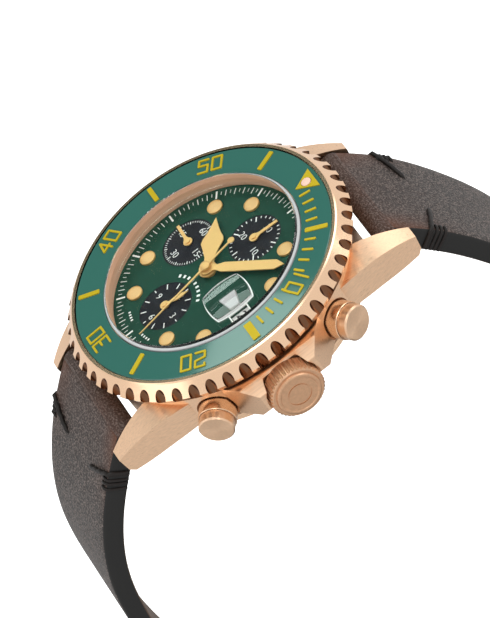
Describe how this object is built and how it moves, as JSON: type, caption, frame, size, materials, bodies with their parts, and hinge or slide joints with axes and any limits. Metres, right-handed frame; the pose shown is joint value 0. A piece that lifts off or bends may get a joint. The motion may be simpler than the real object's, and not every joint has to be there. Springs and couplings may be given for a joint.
{
  "type": "dive watch",
  "caption": "Automatic chronograph dive watch with rotating bezel, crown, two pushers and a buckled leather strap.",
  "frame": {"origin": "centre of the case back's outer flat face", "axes": "+X towards the crown (3 o'clock), +Y towards 12 o'clock, +Z out through the crystal"},
  "size_m": [0.0462, 0.0777, 0.1024],
  "materials": {
    "rose_gold": "satin brushed rose gold plating",
    "crown_gold": "matt rose gold plating",
    "hand_gold": "satin pale gold",
    "steel": "brushed",
    "movement_steel": "plated and grained",
    "movement_brass": "gilt",
    "spring_steel": "blued",
    "green_ceramic": "polished",
    "marking_gold": "glossy",
    "lume": "matt luminous compound",
    "dial_green": "satin lacquer",
    "subdial_black": "fine circular grain",
    "date_white": "matt",
    "glass": "polished, coated",
    "gasket_white": "translucent nylon",
    "seal_black": "matt",
    "leather": "grained, burnished by the lugs"
  },
  "bodies": {
    "root": {"case_middle": "rose_gold", "case_back": "rose_gold", "case_back_gasket": "seal_black", "crown_tube": "steel", "pusher_sleeves": "rose_gold", "crystal": "glass", "cyclops_lens": "glass", "crystal_gasket": "gasket_white", "rehaut_ring": "rose_gold", "movement_ring": "steel", "dial": "dial_green", "subdial_plates": "subdial_black", "hour_markers": "hand_gold", "marker_lume": "lume", "bezel_click_spring": "spring_steel", "bezel_gasket": "seal_black", "pusher_start_spring": "spring_steel", "pusher_reset_spring": "spring_steel", "main_plate": "movement_steel", "train_bridge": "movement_steel", "balance_cock": "movement_steel", "mainspring": "spring_steel", "hairspring": "spring_steel", "rotor_bearing": "steel", "movement_screws": "spring_steel", "spring_bars": "steel"},
    "bezel": {"bezel_ring": "rose_gold", "bezel_insert": "green_ceramic", "bezel_markings": "marking_gold", "bezel_lume_pip": "lume"},
    "winding_clutch": {"sliding_pinion": "movement_steel"},
    "crown": {"crown": "crown_gold", "crown_seal": "seal_black", "winding_stem": "steel"},
    "pusher_start": {"pusher_start_button": "rose_gold"},
    "pusher_reset": {"pusher_reset_button": "rose_gold"},
    "small_seconds": {"small_seconds_hand": "hand_gold", "fourth_wheel": "movement_brass"},
    "minutes": {"minute_hand": "hand_gold", "centre_wheel": "movement_brass"},
    "hours": {"hour_hand": "hand_gold", "hour_wheel": "movement_brass"},
    "barrel": {"barrel": "movement_brass"},
    "third_wheel": {"third_wheel": "movement_brass"},
    "escape_wheel": {"escape_wheel": "movement_steel"},
    "pallet": {"pallet_fork": "movement_steel"},
    "balance": {"balance_wheel": "movement_brass"},
    "chrono_seconds": {"chrono_seconds_hand": "hand_gold"},
    "chrono_minutes": {"chrono_minute_hand": "hand_gold"},
    "chrono_hours": {"chrono_hour_hand": "hand_gold"},
    "date": {"date_disc": "date_white"},
    "rotor": {"rotor": "movement_steel"},
    "strap_12": {"strap_12": "leather", "fixed_keeper": "leather", "buckle_bar": "steel"},
    "strap_6": {"strap_6": "leather"},
    "free_keeper": {"free_keeper": "leather"},
    "buckle_frame": {"buckle_frame": "rose_gold"},
    "buckle_tang": {"buckle_tang": "rose_gold"}
  },
  "joints": [
    {"name": "bezel_turn", "type": "hinge", "parent": "root", "child": "bezel", "pos_m": [0, 0, 0.012], "axis": [0, 0, 1], "continuous": true},
    {"name": "crown_turn", "type": "hinge", "parent": "root", "child": "winding_clutch", "pos_m": [0.009, 0, 0.0064], "axis": [1, 0, 0], "continuous": true},
    {"name": "crown_pull", "type": "slide", "parent": "winding_clutch", "child": "crown", "axis": [1, 0, 0], "range_m": [0, 0.0024]},
    {"name": "pusher_start_press", "type": "slide", "parent": "root", "child": "pusher_start", "axis": [-0.866, -0.5, 0], "range_m": [0, 0.001], "stiffness_N_per_m": 900, "springref_m": -0.002, "deforming": ["pusher_start_spring"]},
    {"name": "pusher_reset_press", "type": "slide", "parent": "root", "child": "pusher_reset", "axis": [-0.866, 0.5, 0], "range_m": [0, 0.001], "stiffness_N_per_m": 900, "springref_m": -0.002, "deforming": ["pusher_reset_spring"]},
    {"name": "small_seconds_turn", "type": "hinge", "parent": "root", "child": "small_seconds", "pos_m": [-0.0075, 0, 0.0106], "axis": [0, 0, -1], "continuous": true},
    {"name": "minute_hand_turn", "type": "hinge", "parent": "root", "child": "minutes", "pos_m": [0, 0, 0.0114], "axis": [0, 0, -1], "continuous": true},
    {"name": "hour_hand_turn", "type": "hinge", "parent": "root", "child": "hours", "pos_m": [0, 0, 0.011], "axis": [0, 0, -1], "continuous": true},
    {"name": "barrel_turn", "type": "hinge", "parent": "root", "child": "barrel", "pos_m": [0.0062, 0.007, 0.006], "axis": [0, 0, -1], "continuous": true},
    {"name": "third_wheel_turn", "type": "hinge", "parent": "root", "child": "third_wheel", "pos_m": [-0.0046, 0.0052, 0.006], "axis": [0, 0, -1], "continuous": true},
    {"name": "escape_wheel_turn", "type": "hinge", "parent": "root", "child": "escape_wheel", "pos_m": [-0.009, -0.0051, 0.006], "axis": [0, 0, -1], "continuous": true},
    {"name": "pallet_rock", "type": "hinge", "parent": "root", "child": "pallet", "pos_m": [-0.0062, -0.0086, 0.006], "axis": [0, 0, 1], "range_deg": [-6, 6]},
    {"name": "balance_swing", "type": "hinge", "parent": "root", "child": "balance", "pos_m": [-0.0005, -0.0096, 0.0064], "axis": [0, 0, 1], "range_deg": [-270, 270]},
    {"name": "chrono_seconds_turn", "type": "hinge", "parent": "root", "child": "chrono_seconds", "pos_m": [0, 0, 0.0118], "axis": [0, 0, -1], "continuous": true},
    {"name": "chrono_minutes_turn", "type": "hinge", "parent": "root", "child": "chrono_minutes", "pos_m": [0, 0.0075, 0.0106], "axis": [0, 0, -1], "continuous": true},
    {"name": "chrono_hours_turn", "type": "hinge", "parent": "root", "child": "chrono_hours", "pos_m": [0, -0.0075, 0.0106], "axis": [0, 0, -1], "continuous": true},
    {"name": "date_turn", "type": "hinge", "parent": "root", "child": "date", "pos_m": [0, 0, 0.0097], "axis": [0, 0, -1], "continuous": true},
    {"name": "rotor_turn", "type": "hinge", "parent": "root", "child": "rotor", "pos_m": [0, 0, 0.0028], "axis": [0, 0, 1], "continuous": true},
    {"name": "strap_12_swing", "type": "hinge", "parent": "root", "child": "strap_12", "pos_m": [0, 0.0218, 0.0056], "axis": [1, 0, 0], "range_deg": [-2, 60]},
    {"name": "strap_6_swing", "type": "hinge", "parent": "root", "child": "strap_6", "pos_m": [0, -0.0218, 0.0056], "axis": [-1, 0, 0], "range_deg": [-2, 60]},
    {"name": "free_keeper_slide", "type": "slide", "parent": "strap_12", "child": "free_keeper", "axis": [0, -0.4327, -0.9015], "range_m": [-0.005, 0.0035]},
    {"name": "buckle_frame_turn", "type": "hinge", "parent": "strap_12", "child": "buckle_frame", "pos_m": [0, 0.02453, -0.06612], "axis": [1, 0, 0], "range_deg": [-25, 55]},
    {"name": "buckle_tang_turn", "type": "hinge", "parent": "buckle_frame", "child": "buckle_tang", "pos_m": [0, 0.02453, -0.06612], "axis": [1, 0, 0], "range_deg": [0, 45]}
  ],
  "couplings": [
    {"joint": "minute_hand_turn", "follows": "small_seconds_turn", "ratio": 0.016667},
    {"joint": "hour_hand_turn", "follows": "small_seconds_turn", "ratio": 0.0013889},
    {"joint": "third_wheel_turn", "follows": "small_seconds_turn", "ratio": -0.13333},
    {"joint": "escape_wheel_turn", "follows": "small_seconds_turn", "ratio": -10},
    {"joint": "barrel_turn", "follows": "small_seconds_turn", "ratio": -0.0020833},
    {"joint": "chrono_minutes_turn", "follows": "chrono_seconds_turn", "ratio": 0.033333},
    {"joint": "chrono_hours_turn", "follows": "chrono_seconds_turn", "ratio": 0.0013889}
  ]
}
